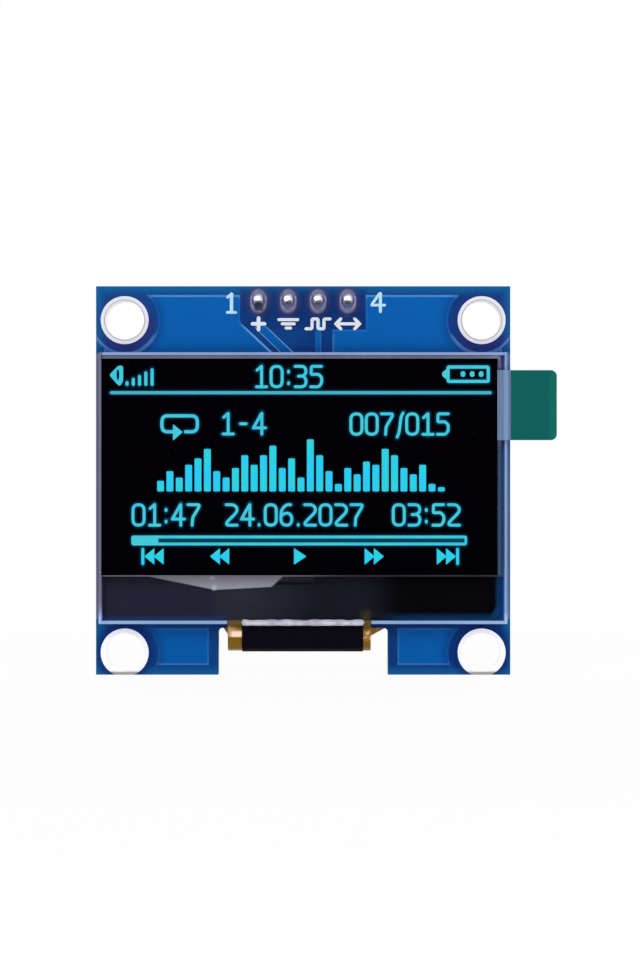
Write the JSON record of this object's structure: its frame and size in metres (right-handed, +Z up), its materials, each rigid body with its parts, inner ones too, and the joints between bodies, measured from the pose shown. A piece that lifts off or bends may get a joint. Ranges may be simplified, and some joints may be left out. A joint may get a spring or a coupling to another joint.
{
  "type": "small oled display module",
  "caption": "Small graphic display: a glass panel on a notched blue circuit board, with a folded flex tail, a green pull tab, a pin header and a mounting hole in each corner.",
  "frame": {"origin": "middle of the four mounting holes, on the circuit board's front face", "axes": "+X to the right across the screen, -Y out of the screen towards the viewer, +Z up towards the pin header"},
  "size_m": [0.0391, 0.0119, 0.0332],
  "materials": {
    "board": "blue solder mask over a glass-fibre board",
    "bare_metal": "tinned copper",
    "solder": "bright solder",
    "pin_metal": "plated square pin",
    "black_plastic": "moulded black plastic",
    "front_glass": "clear glass with ground edges",
    "cover_glass": "clear glass",
    "seal": "cured seal",
    "emitter": "thin dark film",
    "desiccant": "white sheet",
    "polariser": "black glossy film",
    "clear_film": "clear plastic film",
    "tab": "green plastic tape",
    "ledge_coat": "dark coating behind glass",
    "silicon": "bare chip",
    "foam": "double-sided foam tape",
    "flex": "amber plastic film over copper",
    "black_tape": "black tape",
    "ceramic": "tan ceramic with tinned ends",
    "resistor": "black film on white ceramic with tinned ends"
  },
  "bodies": {
    "root": {"circuit_board": "board", "hole_ring_1": "bare_metal", "hole_ring_2": "bare_metal", "hole_ring_3": "bare_metal", "hole_ring_4": "bare_metal", "header_pads": "bare_metal", "header_base": "black_plastic", "header_pin_1": "pin_metal", "header_pin_2": "pin_metal", "header_pin_3": "pin_metal", "header_pin_4": "pin_metal", "solder_joint_1": "solder", "solder_joint_2": "solder", "solder_joint_3": "solder", "solder_joint_4": "solder", "front_glass": "front_glass", "cover_glass": "cover_glass", "seal_frame": "seal", "emitter_layer": "emitter", "desiccant_sheet": "desiccant", "polariser": "polariser", "protective_film": "clear_film", "pull_tab": "tab", "ledge_coat": "ledge_coat", "driver_chip": "silicon", "mounting_tape": "foam", "flex_tail": "flex", "bend_tape": "black_tape", "flex_pads": "bare_metal", "flex_solder": "solder", "regulator_body": "black_plastic", "regulator_leads": "bare_metal", "diode_body": "black_plastic", "diode_leads": "bare_metal", "capacitor_1": "ceramic", "capacitor_2": "ceramic", "capacitor_3": "ceramic", "capacitor_4": "ceramic", "capacitor_5": "ceramic", "capacitor_6": "ceramic", "resistor_1": "resistor", "resistor_2": "resistor", "resistor_3": "resistor", "resistor_4": "resistor", "resistor_5": "resistor", "resistor_6": "resistor", "resistor_7": "resistor", "chip_solder": "solder"}
  },
  "joints": []
}
